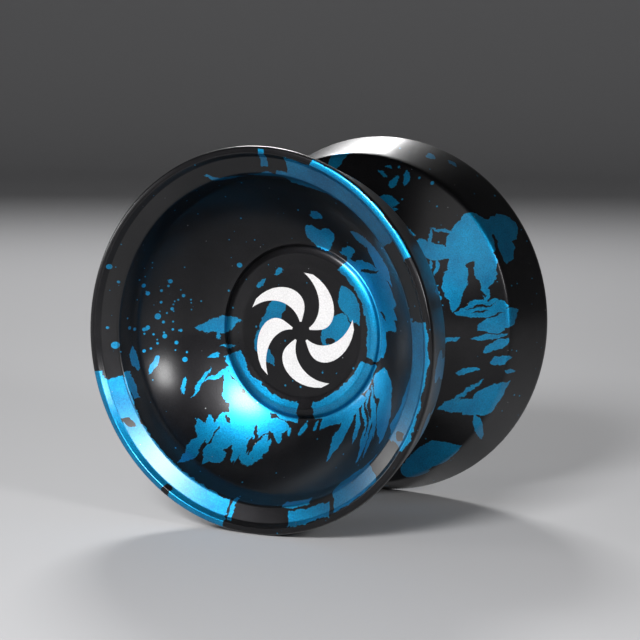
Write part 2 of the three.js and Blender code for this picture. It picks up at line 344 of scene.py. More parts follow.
def splashed_anodise(name, flat_map, strokes, arcs, bare, dots, turned_by=0.0, turned_face=False):
    """Black anodise with blue splashes that follow the strokes and arcs, less the bare spots."""
    material = bpy.data.materials.new(name)
    material.use_nodes = True
    tree = material.node_tree
    shader = tree.nodes["Principled BSDF"]
    flat = put(tree, "ShaderNodeUVMap", uv_map=flat_map).outputs[0]
    if turned_by:
        turned = put(tree, "ShaderNodeMapping", {"Vector": flat, "Rotation": (0, 0, math.radians(turned_by))})
        flat = turned.outputs[0]
    solid = put(tree, "ShaderNodeTexCoord").outputs["Object"]

    # ragged, flowing edges: a broad wander and a fine one
    broad = noise(tree, flat, 0.34, 1.0).outputs["Color"]
    fine = noise(tree, flat, 1.35, 4.0, 0.68).outputs["Color"]
    wander = put(tree, "ShaderNodeVectorMath",
                 {0: broad, 1: (0.5, 0.5, 0.5)}, operation="SUBTRACT").outputs[0]
    ripple = put(tree, "ShaderNodeVectorMath",
                 {0: fine, 1: (0.5, 0.5, 0.5)}, operation="SUBTRACT").outputs[0]
    place = put(tree, "ShaderNodeVectorMath",
                {0: wander, 1: (1.6, 1.6, 0), 2: flat}, operation="MULTIPLY_ADD").outputs[0]
    place = put(tree, "ShaderNodeVectorMath",
                {0: ripple, 1: (0.95, 0.95, 0), 2: place}, operation="MULTIPLY_ADD").outputs[0]
    place = put(tree, "ShaderNodeVectorMath", {0: place, 1: (1, 1, 0)}, operation="MULTIPLY").outputs[0]

    field = stroke_field(tree, place, strokes)
    if arcs:
        field = calc(tree, "MAXIMUM", field, arc_field(tree, place, arcs))
    if bare:
        field = calc(tree, "MINIMUM", field, calc(tree, "MULTIPLY", stroke_field(tree, place, bare), -1.0))
    field = calc(tree, "MAXIMUM", field, stroke_field(tree, flat, dots))
    # stray flecks of blue, one in each second cell or so
    fleck = put(tree, "ShaderNodeTexVoronoi", {"Vector": flat, "Scale": 0.8}, feature="F1")
    chance = put(tree, "ShaderNodeSeparateXYZ", {0: fleck.outputs["Color"]})
    fleck_size = ramp(tree, chance.outputs["X"], 0.5, 1.0, 0.0, 0.16)
    flecks = calc(tree, "SUBTRACT", fleck_size, calc(tree, "DIVIDE", fleck.outputs["Distance"], 0.8))
    field = calc(tree, "MAXIMUM", field, flecks)

    # pinholes in the dye, where bare metal shows as a pale speck
    pit = put(tree, "ShaderNodeTexVoronoi", {"Vector": flat, "Scale": 0.62}, feature="F1")
    pit_chance = put(tree, "ShaderNodeSeparateXYZ", {0: pit.outputs["Color"]})
    pit_size = ramp(tree, pit_chance.outputs["Y"], 0.35, 1.0, 0.0, 0.1)
    pits = calc(tree, "SUBTRACT", pit_size, calc(tree, "DIVIDE", pit.outputs["Distance"], 0.62))
    pits = ramp(tree, pits, -0.02, 0.02)

    blue = ramp(tree, field, -0.035, 0.035)
    edge = ramp(tree, calc(tree, "ABSOLUTE", field), 0.0, 0.22, 1.0, 0.0)
    cloud = noise(tree, solid, 180.0, 3.0, 0.6).outputs["Fac"]
    grain = noise(tree, solid, 5200.0, 2.0, 0.7).outputs["Fac"]

    deep_blue = mixed(tree, ramp(tree, cloud, 0.35, 0.65), (0.001, 0.19, 0.40, 1), (0.002, 0.28, 0.54, 1))
    pale_edge = mixed(tree, calc(tree, "MULTIPLY", edge, 0.25), deep_blue, (0.04, 0.38, 0.58, 1))
    black = mixed(tree, ramp(tree, cloud, 0.3, 0.7), (0.006, 0.0058, 0.0068, 1), (0.011, 0.0105, 0.012, 1))
    black = mixed(tree, calc(tree, "MULTIPLY", edge, 0.5), black, (0.008, 0.009, 0.012, 1))
    colour = mixed(tree, blue, black, pale_edge)
    colour = mixed(tree, calc(tree, "MULTIPLY", pits, 0.7), colour, (0.42, 0.44, 0.46, 1))
    speck = ramp(tree, grain, 0.3, 0.7, 0.72, 1.28)
    colour = put(tree, "ShaderNodeVectorMath", {0: colour, 1: speck}, operation="MULTIPLY").outputs[0]
    tree.links.new(colour, shader.inputs["Base Color"])
    shader.inputs["Metallic"].default_value = 0.95
    rough = calc(tree, "MULTIPLY_ADD", blue, -0.03, 0.35)
    rough = calc(tree, "MULTIPLY_ADD", grain, 0.12, rough)
    tree.links.new(rough, shader.inputs["Roughness"])
    shader.inputs["Coat Weight"].default_value = 0.52
    shader.inputs["Coat IOR"].default_value = 1.5
    shader.inputs["Coat Roughness"].default_value = 0.22
    if turned_face:
        # fine circular tool marks, which draw highlights out towards and away from the axis
        shader.inputs["Anisotropic"].default_value = 1.0
        shader.inputs["Coat Weight"].default_value = 0.65
        shader.inputs["Coat IOR"].default_value = 1.55
        shader.inputs["Coat Roughness"].default_value = 0.28
        around = put(tree, "ShaderNodeTangent", direction_type="RADIAL", axis="Y")
        tree.links.new(around.outputs[0], shader.inputs["Tangent"])
        tree.links.remove(shader.inputs["Roughness"].links[0])
        shader.inputs["Roughness"].default_value = 0.55
    bump = put(tree, "ShaderNodeBump", {"Height": grain, "Strength": 0.7, "Distance": 0.00004})
    tree.links.new(bump.outputs[0], shader.inputs["Normal"])
    return material


# Strokes on the unrolled cup, seen from in front: x to the right and z up, in mm.
cup_strokes = [
    # the main splash below the hub, its fingers and its hook
    (-12.3, -8.2, -11.0, -12.4, 2.8), (-11.2, -11.4, -4.4, -15.6, 5.0), (-10.4, -13.6, -10.6, -20.0, 5.4),
    (-8.0, -14.0, -4.0, -17.2, 4.4), (-4.8, -15.4, -0.9, -15.4, 2.6),
    (-3.0, -15.6, -0.6, -18.8, 1.5), (-8.5, -17.5, -8.2, -22.9, 1.3), (-15.9, -15.0, -14.6, -19.4, 1.3),
    (-14.3, -14.6, -13.2, -20.0, 1.3), (-13.6, -17.6, -17.9, -24.2, 1.9), (-13.4, -16.4, -11.6, -18.4, 2.2),
    (-7.0, -18.2, -6.6, -22.2, 1.3), (-7.0, -21.8, -4.6, -22.0, 1.3), (-5.2, -22.2, -3.8, -17.4, 1.5),
    (1.2, -14.0, 2.0, -17.2, 0.7), (3.6, -13.6, 4.0, -15.8, 0.6),
    # drips to the lower right
    (9.0, -8.6, 10.1, -20.8, 2.0), (10.8, -11.2, 12.2, -15.6, 1.0),
    (14.4, -6.4, 21.4, -8.2, 4.0), (19.2, -6.0, 20.8, -16.4, 3.6), (11.4, -7.6, 17.4, -15.6, 2.3),
    (17.3, -12.2, 16.2, -20.6, 1.5), (13.4, -7.4, 19.2, -16.2, 1.3), (18.6, -13.6, 17.6, -19.4, 0.9),
    (10.6, -9.8, 15.0, -17.4, 0.9),
    # the upper right
    (3.2, 17.6, 6.6, 13.8, 2.6), (5.0, 15.2, 9.6, 17.6, 2.2), (5.6, 20.6, 8.2, 20.8, 1.6),
    (8.0, 13.4, 14.0, 14.6, 1.6), (13.6, 18.2, 17.8, 15.8, 2.0), (16.4, 17.2, 21.4, 9.2, 2.9),
    (10.6, 11.6, 20.6, 9.2, 3.4), (10.8, 8.8, 22.0, 6.2, 4.2), (11.4, 5.4, 22.2, 4.0, 2.8),
    (12.0, 2.4, 21.4, 2.4, 1.5), (12.2, 0.2, 18.4, -0.4, 1.8), (12.0, -2.6, 16.4, -3.4, 1.2),
    # the club and dashes on the left
    (-18.3, 0.1, -13.8, -0.1, 1.6), (-16.8, 0.4, -10.2, 1.0, 2.4), (-14.6, -0.4, -14.3, -1.8, 0.7),
    (-23.7, -4.2, -24.8, -8.2, 1.2), (-19.2, -8.6, -19.6, -11.2, 0.6), (-17.9, -11.8, -15.4, -6.5, 0.7),
    (-16.1, -9.0, -11.4, -5.6, 0.9), (-16.1, -5.0, -13.7, -4.1, 0.9), (-13.8, -3.1, -10.8, -2.7, 0.5),
    (-13.0, -5.2, -10.4, -5.2, 1.6), (-13.0, -6.4, -12.0, -9.0, 1.4),
    # on the cup wall
    (-28.0, -3.0, -26.8, -7.2, 1.4), (-29.6, -8.6, -28.2, -12.4, 1.4), (-11.6, 29.4, -3.6, 28.6, 1.0),
    (-3.4, 30.0, 4.6, 29.2, 2.2),
    # on the hub disc
    (-4.4, 5.6, -1.6, 5.0, 1.6), (-2.6, 5.4, -6.6, -0.8, 2.8), (-6.8, -0.2, -7.2, -3.6, 2.0),
    (-7.0, -2.6, -4.4, -5.6, 1.7), (4.0, -1.6, 7.6, 2.6, 4.2), (6.4, 7.2, 9.8, 1.6, 3.0),
    (-7.3, 6.3, -6.1, 7.8, 0.8), (-4.4, 8.3, -3.0, 9.3, 0.8),
]
cup_arcs = [
    (196, 258.5, 30.6, 33.6), (195, 205, 28.9, 30.4), (193, 236, 33.4, 35.7),
    (238.4, 259, 33.4, 35.7), (259.6, 261.2, 29.6, 33.6), (278.5, 289, 29.2, 30.9), (281.5, 297, 31.4, 34.2),
    (299, 317, 26.6, 33.8), (328.5, 370.5, 25.8, 31.2), (326, 368, 23.4, 26.2), (329.5, 369.4, 31.0, 34.6),
    (36.5, 80, 30.6, 33.8), (28.5, 71, 33.4, 35.2), (40, 84, 25.8, 31.0), (87, 89.2, 31.6, 34.8),
    (-14, 58, 11.2, 14.4), (4, 40, 13.6, 17.0), (-78, -19, 10.4, 13.4), (-75, -40, 13.0, 15.0),
    (198, 268, 10.6, 13.8),
]
cup_bare = [
    (-29.0, -16.2, -26.2, -18.2, 1.5), (27.9, -15.6, 29.3, -14.6, 1.3), (4.6, -1.6, 5.4, -0.9, 0.9),
    (-11.6, -14.2, -10.6, -15.6, 0.7), (-6.4, -17.6, -6.0, -21.2, 0.8), (15.2, -8.4, 17.2, -13.4, 0.7),
    (12.4, 10.4, 18.8, 11.4, 0.7), (13.0, 4.0, 19.0, 3.2, 0.6), (23.0, 19.4, 25.4, 16.4, 0.8),
    (14.4, -9.4, 17.2, -16.2, 0.5),
]


def settle(marks):
    """Moves marks drawn for a straight-sided bowl to where they lie on the hollow one."""
    bowl_middle, bowl_reach, wall_foot_reach = 21.5, 8, 28
    settled = []
    for x, z, to_x, to_z, width in marks:
        ends = []
        for end_x, end_z in ((x, z), (to_x, to_z)):
            away = math.hypot(end_x, end_z)
            share = max(1 - ((away - bowl_middle) / bowl_reach) ** 2, 0.0)
            share = share if away < wall_foot_reach else 0.0
            ends.append(end_x - (2.15 + 2.65 * end_x / away) * share)
            ends.append(end_z - (0.4 + 1.7 * end_z / away) * share)
        settled.append((*ends, width))
    return settled


dot_dice = random.Random(7)
cup_dots = [
    (-31.3, 12.0, -31.2, 12.1, 1.0), (-30.2, 9.2, -30.1, 9.2, 0.5), (-31.1, -2.8, -31.0, -2.8, 1.3),
    (-32.3, 0.5, -32.2, 0.5, 0.5), (-23.5, 1.8, -23.4, 1.8, 1.0), (-10.6, 9.6, -10.5, 9.6, 0.8),
    (-19.2, -5.3, -19.1, -5.3, 0.8), (-20.6, -2.6, -20.5, -2.6, 0.6), (-28.4, 0.2, -28.3, 0.2, 0.6),
]
for _ in range(38):
    spin = dot_dice.uniform(0, 2 * math.pi)
    away = dot_dice.random() ** 0.6
    dot_x = -22.0 + 6.0 * away * math.cos(spin)
    dot_z = 2.0 + 7.5 * away * math.sin(spin)
    cup_dots.append((dot_x, dot_z, dot_x, dot_z, 0.2 + 0.55 * dot_dice.random() ** 2))

cup_strokes = settle(cup_strokes)
cup_bare = settle(cup_bare)
cup_strokes += [
    # the broad run and the slim drips that end it, low in the hollow of the bowl
    (-11.2, -13.4, -11.8, -20.0, 3.6), (-13.4, -20.9, -10.6, -20.6, 2.6), (-12.9, -18.6, -13.7, -22.4, 1.6),
    (-9.2, -16.8, -8.7, -21.8, 0.9), (-9.8, -14.6, -8.2, -18.6, 1.8), (-7.8, -16.4, -7.5, -21.2, 1.1),
    (-7.7, -21.0, -5.9, -21.4, 1.2), (-6.0, -21.4, -4.3, -17.0, 1.3), (-15.8, -14.4, -14.6, -18.2, 1.3),
    (-14.7, -17.6, -17.6, -23.8, 1.5), (-3.4, -14.6, -2.9, -17.2, 0.9), (-1.6, -14.6, -1.2, -16.4, 0.6),
]
cup_bare += [(-6.9, -14.6, -6.6, -19.4, 0.7), (-12.9, -15.4, -13.6, -18.0, 0.35)]

# Strokes on the unrolled gap side of the far half, seen the same way.
gap_strokes = [
    # the big patch over the crease and the rim band
    (20.6, 18.4, 22.2, 11.4, 5.6), (22.6, 18.0, 24.2, 11.6, 6.0), (20.8, 19.0, 26.6, 17.0, 3.6),
    (20.7, 14.6, 20.8, 3.0, 3.4), (24.8, 14.0, 25.8, 7.2, 3.4), (24.6, 9.8, 26.2, 4.4, 1.1),
    (27.2, 19.0, 30.0, 18.4, 6.0), (24.6, 19.2, 28.6, 18.8, 3.8), (28.8, 18.4, 29.1, 11.6, 3.4),
    (12.8, 14.9, 20.6, 12.0, 2.9), (17.2, 12.9, 20.6, 13.4, 2.0), (16.2, 17.3, 16.4, 13.2, 0.55),
    (15.9, 17.2, 20.4, 16.2, 0.55), (16.6, 12.4, 16.4, 6.0, 0.8), (17.6, 12.2, 17.7, 9.2, 0.6),
    # marks nearer the top
    (10.2, 16.9, 13.8, 16.0, 1.0), (11.4, 17.6, 12.2, 16.4, 0.5), (5.0, 22.0, 9.8, 21.6, 1.6),
    (6.4, 21.6, 9.9, 17.9, 1.5), (6.8, 20.4, 9.6, 20.6, 1.2), (7.2, 23.8, 8.2, 25.8, 1.2),
    (9.8, 26.8, 9.9, 24.2, 1.2), (4.6, 26.8, 6.6, 25.6, 0.5), (5.4, 27.4, 7.2, 26.8, 0.4),
    (11.6, 33.4, 13.4, 32.0, 1.6), (16.0, 33.0, 18.0, 31.6, 1.2), (-4.0, 33.8, 1.6, 33.6, 1.6),
    # the fish-shaped mark and its neighbours
    (21.0, 2.9, 29.4, 4.2, 3.2), (24.6, -0.4, 31.6, 3.6, 3.4), (17.8, -3.2, 21.9, -1.6, 0.9),
    (23.4, -2.0, 29.2, -0.6, 0.9), (25.8, -4.0, 29.4, -1.4, 1.9), (26.2, -5.7, 30.2, -5.3, 1.3),
    (21.2, -8.1, 24.8, -7.4, 1.1), (28.6, -7.2, 31.0, -8.0, 0.8),
    # low down
    (17.6, -14.4, 25.4, -12.6, 2.6), (21.6, -15.2, 29.8, -9.8, 4.0), (23.6, -14.8, 27.4, -13.0, 2.6),
    (20.0, -12.8, 25.2, -9.0, 0.6), (23.2, -14.8, 24.6, -21.6, 1.7), (10.6, -24.6, 20.6, -21.2, 4.2),
    (9.6, -27.2, 15.0, -24.4, 3.6),
    # round the side away from the front
    (-24.0, 6.0, -31.0, 12.0, 4.4), (-20.0, 10.0, -26.0, 7.0, 2.4), (-14.0, -10.0, -22.0, -17.0, 3.2),
    (-19.0, -18.0, -24.0, -22.0, 2.0), (-8.0, 20.0, -13.0, 27.0, 2.6), (-12.0, -4.0, -20.0, -3.0, 1.2),
    (-30.0, -14.0, -35.0, -10.0, 4.0), (2.0, -18.0, 1.0, -26.0, 2.2), (-3.0, -30.0, 5.0, -33.0, 3.0),
    (-6.0, 14.0, -10.0, 17.0, 1.0), (-26.0, -4.0, -32.0, -2.0, 1.4), (-16.0, 12.0, -27.0, 20.0, 3.4),
    (-20.0, 15.0, -22.0, 23.0, 1.6), (-24.6, 17.0, -25.4, 23.0, 1.4), (-26.0, -8.0, -33.0, -12.0, 4.0),
    (-13.0, -7.0, -16.0, -12.6, 2.4), (0.0, -20.0, 6.0, -27.6, 2.6), (-2.0, -23.0, -6.4, -29.0, 2.0),
    (-10.0, -23.6, -14.6, -28.0, 3.0), (-6.0, 25.0, -1.6, 31.6, 2.2), (-31.0, 3.0, -34.4, -3.4, 3.4),
    (-17.4, 1.6, -24.0, 0.6, 1.6), (-18.0, 2.4, -20.6, 4.6, 0.8),
]
gap_bare = [
    (23.1, 11.4, 23.4, 5.4, 1.3), (22.4, 3.5, 27.6, 4.5, 0.35), (23.6, 2.6, 26.2, 3.6, 0.35),
    (25.4, 1.9, 28.6, 2.9, 0.35), (17.4, 16.2, 18.6, 14.6, 0.9), (24.9, 6.8, 25.6, 5.8, 0.5),
    (21.0, -12.6, 25.4, -9.8, 0.4),
]
gap_dots = [
    (18.3, 6.3, 18.3, 6.2, 0.7), (18.6, 5.4, 18.6, 5.3, 0.9), (12.2, 25.6, 12.2, 25.6, 0.4),
    (14.6, 24.8, 14.6, 24.7, 0.6), (8.2, 27.4, 8.2, 27.3, 0.4), (26.4, 26.2, 26.4, 26.1, 0.4),
]
for _ in range(18):
    spin = dot_dice.uniform(0, 2 * math.pi)
    away = dot_dice.random() ** 0.7
    dot_x = 16.5 + 4.5 * away * math.cos(spin)
    dot_z = 5.5 + 7.0 * away * math.sin(spin)
    gap_dots.append((dot_x, dot_z, dot_x, dot_z, dot_dice.uniform(0.15, 0.4)))

outline = rounded(gap_side_corners() + cup_side_corners())
cup_side_from = next(i for i, point in enumerate(outline) if point.y > rim_plane - 0.3)
for letter, side, body, turned_cup, turned_gap in (
        ("a", -1, "first_half", 0.0, 205.0), ("b", 1, "second_half", 150.0, 0.0)):
    half = turn_outline("turned_half_" + letter, outline, side, lathe_steps)
    add_flat_map(half, "cup_flat", outline, True)
    add_flat_map(half, "gap_flat", outline, False)
    half.data.materials.append(splashed_anodise(
        "splashed_gap_side_" + letter, "gap_flat", gap_strokes, [], gap_bare, gap_dots, turned_gap))
    half.data.materials.append(splashed_anodise(
        "splashed_cup_side_" + letter, "cup_flat", cup_strokes, cup_arcs, cup_bare, cup_dots, turned_cup))
    half.data.materials.append(splashed_anodise(
        "splashed_ring_face_" + letter, "cup_flat", cup_strokes, cup_arcs, cup_bare, cup_dots, turned_cup,
        turned_face=True))
    rows = []
    for row, point in enumerate(outline):
        rows += [row] * (1 if point.x < 1e-6 else lathe_steps)
    for face in half.data.polygons:
        row = min(rows[index] for index in face.vertices)
        middle = (outline[row] + outline[row + 1]) / 2
        on_cup_side = row >= cup_side_from
        on_ring_face = rim_radius - 3.95 < middle.x < rim_radius - 1.62 and middle.y > rim_plane - 2.1
        face.material_index = 1 if on_cup_side else 0
        if on_cup_side and on_ring_face:
            face.material_index = 2
    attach(half, body)
    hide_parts("half_" + letter)


# ---- Response rings -----------------------------------------------------------------------
# A soft silicone ring is stuck into the groove of each half, its face level with the gap wall.
# It is moulded, milky and slightly see-through, and the string grips it when the yo-yo returns.
def silicone():
    material = bpy.data.materials.new("milky_silicone")
    material.use_nodes = True
    tree = material.node_tree
    shader = tree.nodes["Principled BSDF"]
    solid = put(tree, "ShaderNodeTexCoord").outputs["Object"]
    cloud = noise(tree, solid, 700.0, 3.0).outputs["Fac"]
    skin = noise(tree, solid, 6000.0, 2.0, 0.6).outputs["Fac"]
    tint = mixed(tree, ramp(tree, cloud, 0.35, 0.7), (0.66, 0.67, 0.65, 1), (0.78, 0.78, 0.75, 1))
    tree.links.new(tint, shader.inputs["Base Color"])
    tree.links.new(ramp(tree, skin, 0.3, 0.7, 0.48, 0.62), shader.inputs["Roughness"])
    shader.inputs["Subsurface Weight"].default_value = 0.35
    shader.inputs["Subsurface Scale"].default_value = 0.0006
    shader.inputs["IOR"].default_value = 1.41
    bump = put(tree, "ShaderNodeBump", {"Height": skin, "Strength": 0.15, "Distance": 0.00002})
    tree.links.new(bump.outputs[0], shader.inputs["Normal"])
    return material


def turn_ring(name, corners, side, steps, material):
    """Turns a closed outline of (radius, along, rounding) corners into a ring."""
    outline = rounded(corners + corners[:1], 3)
    ring = turn_outline(name, outline, side, steps)
    shape = bmesh.new()
    shape.from_mesh(ring.data)
    bmesh.ops.remove_doubles(shape, verts=shape.verts, dist=1e-7)
    bmesh.ops.recalc_face_normals(shape, faces=shape.faces)
    shape.to_mesh(ring.data)
    shape.free()
    ring.data.materials.append(material)
    return ring


silicone_material = silicone()
for letter, side, body in (("a", -1, "first_half"), ("b", 1, "second_half")):
    ring = turn_ring("silicone_ring_" + letter, [
        (pad_inner, pad_back, 0),
        (pad_inner, pad_face + 0.02, 0.12),
        (pad_inner + 0.35, pad_face, 0.12),
        ((pad_inner + pad_outer) / 2, pad_face + 0.03, 0.25),
        (pad_outer - 0.35, pad_face, 0.12),
        (pad_outer, pad_face + 0.02, 0.12),
        (pad_outer, pad_back, 0),
    ], side, 160, silicone_material)
    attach(ring, body)
    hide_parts("response_pad_" + letter)


# ---- Ball bearing -------------------------------------------------------------------------
# A size C ball bearing sits on the two posts and carries the string on its outer race.
# Both races are ground and polished steel, with a raceway groove for the eight balls.
pitch_radius = (bore_radius + race_radius) / 2
ball_radius = 1.0
groove_radius = ball_radius + 0.07
inner_shoulder = pitch_radius - ball_radius + 0.2625
outer_shoulder = pitch_radius + ball_radius - 0.3125
shield_seat = race_radius - 0.3
shield_floor = race_half - 0.7


def ground_steel(name, base, roughness, brushed):
    """Steel with fine rings left by grinding or turning about the axle."""
    material = bpy.data.materials.new(name)
    material.use_nodes = True
    tree = material.node_tree
    shader = tree.nodes["Principled BSDF"]
    solid = put(tree, "ShaderNodeTexCoord").outputs["Object"]
    parts = put(tree, "ShaderNodeSeparateXYZ", {0: solid})
    flat = put(tree, "ShaderNodeCombineXYZ", {"X": parts.outputs["X"], "Y": parts.outputs["Z"]})
    reach = put(tree, "ShaderNodeVectorMath", {0: flat.outputs[0]}, operation="LENGTH").outputs["Value"]
    ring_place = put(tree, "ShaderNodeCombineXYZ", {"X": reach, "Y": parts.outputs["Y"]}).outputs[0]
    rings = noise(tree, ring_place, 9000.0, 2.0, 0.7).outputs["Fac"]
    smudge = noise(tree, solid, 350.0, 3.0, 0.6).outputs["Fac"]
    tone = mixed(tree, ramp(tree, smudge, 0.3, 0.7), tuple(v * 0.86 for v in base) + (1,), base + (1,))
    tree.links.new(tone, shader.inputs["Base Color"])
    rough = calc(tree, "MULTIPLY_ADD", rings, brushed * 0.2, roughness - brushed * 0.1)
    rough = calc(tree, "MULTIPLY_ADD", smudge, 0.08, rough)
    tree.links.new(rough, shader.inputs["Roughness"])
    shader.inputs["Metallic"].default_value = 1.0
    bump = put(tree, "ShaderNodeBump", {"Height": rings, "Strength": 0.12 * brushed, "Distance": 0.00001})
    tree.links.new(bump.outputs[0], shader.inputs["Normal"])
    return material


def groove_arc(centre, radius, start, end, steps=14):
    corners = []
    for k in range(steps + 1):
        angle = start + (end - start) * k / steps
        corners.append((centre + radius * math.cos(angle), radius * math.sin(angle), 0))
    return corners


bearing_steel = ground_steel("ground_bearing_steel", (0.60, 0.61, 0.63), 0.2, 1.0)
inner_angle = math.acos((pitch_radius - inner_shoulder) / groove_radius)
outer_angle = math.acos((outer_shoulder - pitch_radius) / groove_radius)
inner_race = turn_ring("inner_race", [
    (bore_radius, -race_half, 0.1),
    (inner_shoulder, -race_half, 0.06),
    *groove_arc(pitch_radius, groove_radius, math.pi + inner_angle, math.pi - inner_angle),
    (inner_shoulder, race_half, 0.06),
    (bore_radius, race_half, 0.1),
    (bore_radius, 0, 0),
], 1, 160, bearing_steel)
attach(inner_race, "first_half")
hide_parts("bearing_inner_race")

outer_race = turn_ring("outer_race", [
    (race_radius, 0, 0),
    (race_radius, race_half, 0.16),
    (shield_seat - 0.14, race_half, 0.04),
    (shield_seat - 0.14, race_half - 0.14, 0.03),
    (shield_seat, race_half - 0.21, 0.03),
    (shield_seat, shield_floor, 0.03),
    (outer_shoulder, shield_floor, 0.04),
    *groove_arc(pitch_radius, groove_radius, outer_angle, -outer_angle),
    (outer_shoulder, -shield_floor, 0.04),
    (shield_seat, -shield_floor, 0.03),
    (shield_seat, -race_half + 0.21, 0.03),
    (shield_seat - 0.14, -race_half + 0.14, 0.03),
    (shield_seat - 0.14, -race_half, 0.04),
    (race_radius, -race_half, 0.16),
], 1, 160, bearing_steel)
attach(outer_race, "outer_race")
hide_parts("bearing_outer_race")


# ---- Balls --------------------------------------------------------------------------------
# Eight balls of 2 mm run between the races. They are chrome steel, lapped to a mirror,
# and a thin film of oil leaves them slightly smeared.
def mirror_steel():
    material = bpy.data.materials.new("lapped_ball_steel")
    material.use_nodes = True
    tree = material.node_tree
    shader = tree.nodes["Principled BSDF"]
    solid = put(tree, "ShaderNodeTexCoord").outputs["Object"]
    film = noise(tree, solid, 900.0, 3.0).outputs["Fac"]
    tree.links.new(ramp(tree, film, 0.3, 0.7, 0.05, 0.13), shader.inputs["Roughness"])
    tone = mixed(tree, film, (0.62, 0.63, 0.65, 1), (0.70, 0.71, 0.73, 1))
    tree.links.new(tone, shader.inputs["Base Color"])
    shader.inputs["Metallic"].default_value = 1.0
    return material


ball_material = mirror_steel()
for number in range(1, 9):
    ball_low, ball_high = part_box("ball_%d" % number)
    shape = bmesh.new()
    bmesh.ops.create_icosphere(shape, subdivisions=4, radius=ball_radius * MM)
    bmesh.ops.translate(shape, verts=shape.verts, vec=(ball_low + ball_high) / 2)
    for face in shape.faces:
        face.smooth = True
    mesh = bpy.data.meshes.new("steel_ball_%d" % number)
    shape.to_mesh(mesh)
    shape.free()
    ball = bpy.data.objects.new("steel_ball_%d" % number, mesh)
    bpy.context.collection.objects.link(ball)
    ball.data.materials.append(ball_material)
    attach(ball, "ball_cage")
    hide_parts("ball_%d" % number)


# ---- Ribbon cage --------------------------------------------------------------------------
# Two thin pressed steel ribbons, waved round the balls, keep them evenly spread.
# They meet back to back between the balls, where small rivets hold them together.
cage_thickness = 0.18
cage_half_width = 0.31
cage_back = 0.08
pocket_radius = ball_radius + 0.1
pressed_steel = ground_steel("pressed_steel", (0.50, 0.50, 0.51), 0.34, 0.5)
cage_steps = 320
for letter, side in (("a", -1), ("b", 1)):
    shape = bmesh.new()
    loops = []
    for j in range(cage_steps):
        angle = 2 * math.pi * j / cage_steps
        from_ball = angle % (math.pi / 4) - math.pi / 8
        across = from_ball * pitch_radius
        dome = math.sqrt(max(pocket_radius ** 2 - across ** 2, 0.0))
        low = max(dome, cage_back)
        outer_dome = math.sqrt(max((pocket_radius + cage_thickness) ** 2 - across ** 2, 0.0))
        high = max(outer_dome, cage_back + cage_thickness)
        loop = []
        for radius, along in ((pitch_radius - cage_half_width, low), (pitch_radius + cage_half_width, low),
                              (pitch_radius + cage_half_width, high), (pitch_radius - cage_half_width, high)):
            loop.append(shape.verts.new((radius * math.sin(angle) * MM, side * along * MM,
                                         radius * math.cos(angle) * MM)))
        loops.append(loop)
    for j in range(cage_steps):
        near, far = loops[j], loops[(j + 1) % cage_steps]
        for k in range(4):
            shape.faces.new((near[k], near[(k + 1) % 4], far[(k + 1) % 4], far[k]))
    for rivet in range(8):
        angle = rivet * math.pi / 4
        centre = Vector((pitch_radius * math.sin(angle), side * (cage_back + cage_thickness),
                         pitch_radius * math.cos(angle))) * MM
        head = bmesh.ops.create_uvsphere(shape, u_segments=12, v_segments=8, radius=0.16 * MM)["verts"]
        bmesh.ops.scale(shape, verts=head, vec=(1, 0.5, 1))
        bmesh.ops.translate(shape, verts=head, vec=centre)
    bmesh.ops.recalc_face_normals(shape, faces=shape.faces)
    mesh = bpy.data.meshes.new("ribbon_cage_" + letter)
    shape.to_mesh(mesh)
    shape.free()
    cage = bpy.data.objects.new("ribbon_cage_" + letter, mesh)
    bpy.context.collection.objects.link(cage)
    edge_round = cage.modifiers.new("pressed_edge", "BEVEL")
    edge_round.width = 0.03 * MM
    edge_round.segments = 2
    cage.data.materials.append(pressed_steel)
    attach(cage, "ball_cage")
    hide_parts("cage_half_" + letter)


